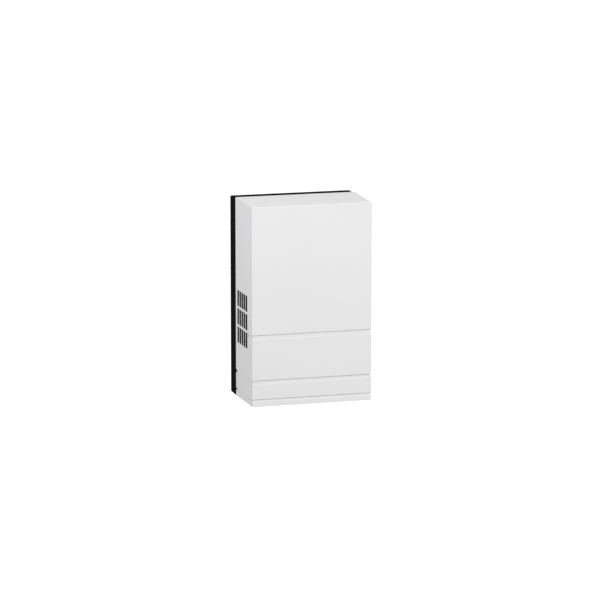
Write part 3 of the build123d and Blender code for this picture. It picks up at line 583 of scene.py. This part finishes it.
class CHIME_OT_stage(bpy.types.Operator):
    """Set up the floor, the lamps and the camera"""

    bl_idname = "chime.stage"
    bl_label = "Stage"

    def execute(self, context):
        stage = context.scene.chime_stage
        self.add_world(context.scene, stage)
        self.add_floor(context.scene, stage)
        lamps = {
            "key_lamp": (stage.key_place, stage.key_size, stage.key_power, WHITE[:3]),
            "fill_lamp": (stage.fill_place, stage.fill_size, stage.fill_power, stage.fill_colour),
        }
        for name, settings in lamps.items():
            self.add_lamp(context.scene, name, *settings, stage.aim)
        self.add_camera(context.scene, stage)
        context.scene.view_settings.view_transform = "Standard"
        return {"FINISHED"}

    def seen(self, finish):
        """1 for rays from the camera, and for those that a mirror or a glass sends on."""
        kinds = [
            finish.node("ShaderNodeLightPath", output=kind)
            for kind in ("Is Camera Ray", "Is Glossy Ray", "Is Transmission Ray")
        ]
        return finish.spread(kinds[0] + kinds[1] + kinds[2], 0, 1)

    def add_world(self, scene, stage):
        """An even soft light, white where it is seen."""
        world = bpy.data.worlds.new("studio")
        scene.world = world
        finish = Finish(world)
        soft = finish.node("ShaderNodeBackground", inputs={"Color": WHITE, "Strength": stage.ambient})
        white = finish.node("ShaderNodeBackground", inputs={"Color": WHITE, "Strength": 1.0})
        mixed = finish.node("ShaderNodeMixShader", inputs={0: self.seen(finish), 1: soft, 2: white})
        finish.node("ShaderNodeOutputWorld", inputs={"Surface": mixed})

    def add_floor(self, scene, stage):
        """A plain pale floor, which the camera sees as white with a soft shadow."""
        half, level = stage.floor_half, -stage.floor_drop
        mesh = bpy.data.meshes.new("floor")
        corners = [(-half, -half, level), (half, -half, level), (half, half, level), (-half, half, level)]
        mesh.from_pydata(corners, [], [(0, 1, 2, 3)])
        floor = bpy.data.objects.new("floor", mesh)
        scene.collection.objects.link(floor)
        finish = new_finish("floor_white")
        speckle = finish.noise(finish.place(), size=0.02, detail=3)
        dull = finish.node("ShaderNodeBsdfDiffuse", inputs={"Color": (0.78, 0.78, 0.78, 1)})
        pale = finish.node("ShaderNodeBsdfDiffuse", inputs={"Color": (0.8, 0.8, 0.8, 1)})
        paint = finish.node("ShaderNodeMixShader", inputs={0: speckle, 1: dull, 2: pale})
        white = finish.node("ShaderNodeEmission", inputs={"Color": WHITE, "Strength": stage.floor_glow})
        share = stage.floor_share * self.seen(finish)
        shown = finish.node("ShaderNodeMixShader", inputs={0: share, 1: paint, 2: white})
        clear = finish.node("ShaderNodeBsdfTransparent")
        below = finish.node("ShaderNodeNewGeometry", output="Backfacing")
        surface = finish.node("ShaderNodeMixShader", inputs={0: below, 1: shown, 2: clear})
        finish.node("ShaderNodeOutputMaterial", inputs={"Surface": surface})
        mesh.materials.append(finish.owner)

    def add_lamp(self, scene, name, place, size, power, colour, aim):
        """A square soft lamp that points where the camera looks."""
        light = bpy.data.lights.new(name, "AREA")
        light.shape = "SQUARE"
        light.size = size
        light.energy = power
        light.color = colour
        lamp = bpy.data.objects.new(name, light)
        lamp.location = place
        lamp.rotation_mode = "QUATERNION"
        lamp.rotation_quaternion = (Vector(aim) - lamp.location).to_track_quat("-Z", "Y")
        lamp.visible_camera = False
        scene.collection.objects.link(lamp)

    def add_camera(self, scene, stage):
        """A long lens at the front left, a little above the case."""
        data = bpy.data.cameras.new("camera")
        data.lens = stage.lens
        data.sensor_width = 36.0
        camera = bpy.data.objects.new("camera", data)
        back = Vector((
            math.sin(stage.azimuth) * math.cos(stage.elevation),
            -math.cos(stage.azimuth) * math.cos(stage.elevation),
            math.sin(stage.elevation),
        ))
        camera.location = Vector(stage.aim) + stage.distance * back
        camera.rotation_mode = "QUATERNION"
        camera.rotation_quaternion = (-back).to_track_quat("-Z", "Y")
        scene.collection.objects.link(camera)
        scene.camera = camera


class CHIME_OT_case(bpy.types.Operator):
    """Finish the cover and the base"""

    bl_idname = "chime.case"
    bl_label = "Case"

    def execute(self, context):
        case = context.scene.chime_case
        dress("cover", moulded_plastic(
            "cover_white", case.cover_colour, case.grain, relief=0.000012, roughness=0.36, drift=0.006,
            shine=0.4, darkest=case.shade,
            # painted shade on the vents' cut edges, under the grooves' lips and on the wide grooves'
            # slopes
            shaded=lambda finish, place: (
                self.painted_vent_shade(finish, place, case) + self.painted_lip_shade(finish, place, case)
            ),
        ))
        dress("base_plate", moulded_plastic(
            "base_black", case.base_colour, 1.4 * case.grain, relief=0.00004, roughness=0.75, drift=0.12,
            shine=0.008,
        ))
        return {"FINISHED"}

    def painted_vent_shade(self, finish, place, case):
        """1 on the cut edges of the vents, where painted shade darkens them."""
        front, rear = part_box("cover")
        side, lean = rear.x, case.side_draft / (rear.y - front.y)
        across, depth = abs(finish.along(place, "X")), finish.along(place, "Y")
        below_face = side - across - lean * (rear.y - depth)
        # painted shade, from just under the outer face inwards
        shade = finish.spread(below_face, case.vent_arris, 2 * case.vent_arris)
        middle, reach = case.vent_middle, case.vent_reach
        in_depth = abs(depth + middle[0]) < reach[0]
        in_height = abs(finish.along(place, "Z") - middle[1]) < reach[1]
        return shade * in_depth * in_height * (across > side - case.vent_edge)

    def painted_lip_shade(self, finish, place, case):
        """1 under the lip of each groove across the front, and less down to where it ends: a painted line
        of shade. The slopes below the two wide grooves get a part of it, most of it at their top: painted
        shade that dulls their highlight."""
        height = finish.along(place, "Z")
        # 0 on the cover's front face, and 1 on the floor of a groove
        behind = (finish.along(place, "Y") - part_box("cover")[0].y) / case.lip_depth
        # painted shade under each lip
        shade = 0
        for lip in case.lip_heights:
            shade = finish.spread(lip - height, 0, case.lip_shade, 1, 0) * (height < lip) + shade
        # painted shade on the wide grooves' slopes, which dulls their highlight
        slopes = finish.spread(behind, 0, 1, 0, case.slope_shade) * (behind < 0.97)
        slopes = slopes * (height < case.lip_heights[0]) * (height > case.lip_heights[2])
        return shade * (behind > 0.2) * (behind < 2) + slopes


class CHIME_OT_bars(bpy.types.Operator):
    """Finish the tone bars, their bushes and their clips"""

    bl_idname = "chime.bars"
    bl_label = "Tone bars"

    def execute(self, context):
        works = context.scene.chime_works
        steel = brushed_steel("bar_steel", works.steel_colour, stretch=(1, 1, 0.02), roughness=0.26)
        rubber = soft_rubber("bush_rubber", (0.02, 0.02, 0.021, 1))
        clip = brushed_steel(
            "clip_steel", (0.4, 0.39, 0.38, 1), stretch=(1, 0.3, 0.3), roughness=0.3, tarnish=0.4,
        )
        for node in ("left_tone_bar", "right_tone_bar"):
            dress(node, steel)
        for node in ("left_bar_bushes", "right_bar_bushes", "cable_bush"):
            dress(node, rubber)
        dress("bar_clips", clip)
        return {"FINISHED"}


class CHIME_OT_solenoid(bpy.types.Operator):
    """Wind the solenoid's coil, and finish the solenoid and its plunger"""

    bl_idname = "chime.solenoid"
    bl_label = "Solenoid"

    def execute(self, context):
        works = context.scene.chime_works
        self.wind_coil(works)
        zinc = plated_steel("frame_zinc", (0.6, 0.5, 0.28, 1), second_colour=(0.52, 0.55, 0.42, 1))
        nylon = moulded_plastic(
            "natural_nylon", (0.72, 0.68, 0.57, 1), grain=0.0006, relief=0.00001, roughness=0.34,
            softness=0.12,
        )
        dress("solenoid_frame", zinc)
        dress("solenoid_bobbin", nylon)
        dress("left_striker", nylon)
        dress("right_striker", nylon)
        dress("plunger_core", brushed_steel(
            "core_steel", (0.56, 0.55, 0.54, 1), stretch=(1, 0.02, 0.02), roughness=0.2, tarnish=0.1,
        ))
        return {"FINISHED"}

    def wind_coil(self, works):
        """One layer of real turns over the coil, and a band of tape where its leads come out."""
        low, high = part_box("solenoid_winding")
        centre = (low + high) / 2
        outer = (high.z - low.z) / 2
        wire = works.coil_wire
        radius = outer - wire / 2
        turns = int((high.x - low.x) / wire)
        steps = 48  # to a turn
        points = []
        for i in range((turns - 1) * steps + 1):
            angle = 2 * math.pi * i / steps
            x = low.x + wire / 2 + (high.x - low.x - wire) * i / ((turns - 1) * steps)
            points.append(around(centre, x, radius, angle))
        vertices, faces = tube(points, wire / 2, sides=8)
        bore = works.coil_bore
        under = [(low.x, bore), (high.x, bore), (high.x, radius), (low.x, radius)]
        more, more_faces = turned(under, centre, sides=64)
        start = len(vertices)
        faces += [tuple(start + i for i in face) for face in more_faces]
        copper = enamelled_wire("coil_copper", works.copper_colour)
        coil = new_piece("coil_turns", vertices + more, faces, copper)
        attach(coil, "base")
        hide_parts("solenoid_winding")

        tape_end = high.x - works.tape_inset
        tape_start = tape_end - works.tape_width
        inner, over = outer - works.tape_thickness, outer + works.tape_thickness
        band = [(tape_start, inner), (tape_start, over), (tape_end, over), (tape_end, inner)]
        vertices, faces = turned(band, centre, sides=96)
        tape = new_piece(
            "coil_tape", vertices, faces,
            taped_winding("tape_yellow", works.tape_colour, wire), smooth=False,
        )
        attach(tape, "base")


class CHIME_OT_spring(bpy.types.Operator):
    """Coil the return spring"""

    bl_idname = "chime.spring"
    bl_label = "Return spring"

    def execute(self, context):
        works = context.scene.chime_works
        low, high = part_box("return_spring")
        centre = (low + high) / 2
        wire = works.spring_wire
        radius = (high.z - low.z) / 2 - wire / 2
        start, end = low.x + wire / 2, high.x - wire / 2
        turns = works.spring_turns + 2
        open_pitch = (end - start - 2 * works.spring_end_pitch) / works.spring_turns
        steps = 40  # to a turn
        points, x = [], start
        for i in range(turns * steps + 1):
            angle = 2 * math.pi * i / steps
            points.append(around(centre, x, radius, angle))
            closed = i < steps or i >= (turns - 1) * steps
            x += (works.spring_end_pitch if closed else open_pitch) / steps
        vertices, faces = tube(points, wire / 2, sides=12)
        steel = brushed_steel(
            "spring_steel", (0.44, 0.44, 0.45, 1), stretch=(1, 0.1, 0.1), roughness=0.22, tarnish=0.15,
        )
        spring = new_piece("spring_coils", vertices, faces, steel)
        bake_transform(spring)
        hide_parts("return_spring")
        return {"FINISHED"}


class CHIME_OT_transformer(bpy.types.Operator):
    """Finish the transformer and its clamp"""

    bl_idname = "chime.transformer"
    bl_label = "Transformer"

    def execute(self, context):
        works = context.scene.chime_works
        dress("transformer_core", stacked_sheets("core_sheets", (0.2, 0.2, 0.21, 1), works.sheet))
        dress("transformer_former", bpy.data.materials["natural_nylon"])
        for winding, wire in (("primary", works.primary_wire), ("secondary", works.secondary_wire)):
            dress(winding + "_winding", taped_winding(winding + "_tape", works.tape_colour, wire))
        dress("transformer_clamp", bpy.data.materials["frame_zinc"])
        return {"FINISHED"}


class CHIME_OT_terminals(bpy.types.Operator):
    """Finish the terminal block, and all the screws"""

    bl_idname = "chime.terminals"
    bl_label = "Terminals and screws"

    def execute(self, context):
        block = moulded_plastic(
            "block_ivory", (0.66, 0.64, 0.56, 1), grain=0.0006, relief=0.00001, roughness=0.3,
        )
        brass = brushed_steel(
            "terminal_brass", (0.72, 0.5, 0.2, 1), stretch=(1, 1, 0.05), roughness=0.24, tarnish=0.25,
        )
        screw = plated_steel(
            "screw_zinc", (0.56, 0.57, 0.58, 1), second_colour=(0.5, 0.5, 0.47, 1), roughness=0.26,
        )
        dress("terminal_block", block)
        dress("terminal_inserts", brass)
        for node in ("terminal_screws", "block_screws", "solenoid_screws", "transformer_screws"):
            dress(node, screw)
        return {"FINISHED"}


class CHIME_OT_wiring(bpy.types.Operator):
    """Finish the insulated leads"""

    bl_idname = "chime.wiring"
    bl_label = "Wiring"

    def execute(self, context):
        brown, blue = (0.1, 0.03, 0.012, 1), (0.015, 0.07, 0.32, 1)
        red, black = (0.45, 0.012, 0.01, 1), (0.012, 0.012, 0.013, 1)
        # heights above or below the middle, each with the X of the border between the two mains leads
        border = ((0.012, -0.0165), (0.036, -0.0093))
        dress("primary_leads", wire_insulation("mains_insulation", brown, blue, border))
        dress("secondary_lead", wire_insulation("return_insulation", black))
        dress("coil_leads", wire_insulation("coil_insulation", red))
        return {"FINISHED"}


class CHIME_PT_build(bpy.types.Panel):
    """Lists the sizes, the colours and the steps"""

    bl_idname = "CHIME_PT_build"
    bl_label = "Door chime"
    bl_space_type = "VIEW_3D"
    bl_region_type = "UI"
    bl_category = "Chime"

    def draw(self, context):
        for group in (context.scene.chime_case, context.scene.chime_works, context.scene.chime_stage):
            box = self.layout.box()
            for name in group.__annotations__:
                box.prop(group, name)
        for step in STEPS:
            self.layout.operator(step.bl_idname)


GROUPS = {"chime_case": ChimeCase, "chime_works": ChimeWorks, "chime_stage": ChimeStage}
STEPS = (
    CHIME_OT_stage,
    CHIME_OT_case,
    CHIME_OT_bars,
    CHIME_OT_solenoid,
    CHIME_OT_spring,
    CHIME_OT_transformer,
    CHIME_OT_terminals,
    CHIME_OT_wiring,
)


def register():
    for group in GROUPS.values():
        bpy.utils.register_class(group)
    for step in STEPS:
        bpy.utils.register_class(step)
    bpy.utils.register_class(CHIME_PT_build)
    for name, group in GROUPS.items():
        setattr(bpy.types.Scene, name, bpy.props.PointerProperty(type=group))


def unregister():
    for name in GROUPS:
        delattr(bpy.types.Scene, name)
    bpy.utils.unregister_class(CHIME_PT_build)
    for step in reversed(STEPS):
        bpy.utils.unregister_class(step)
    for group in reversed(GROUPS.values()):
        bpy.utils.unregister_class(group)


def main():
    register()
    bpy.ops.chime.stage()
    bpy.ops.chime.case()
    bpy.ops.chime.bars()
    bpy.ops.chime.solenoid()
    bpy.ops.chime.spring()
    bpy.ops.chime.transformer()
    bpy.ops.chime.terminals()
    bpy.ops.chime.wiring()


if __name__ == "__main__":
    main()
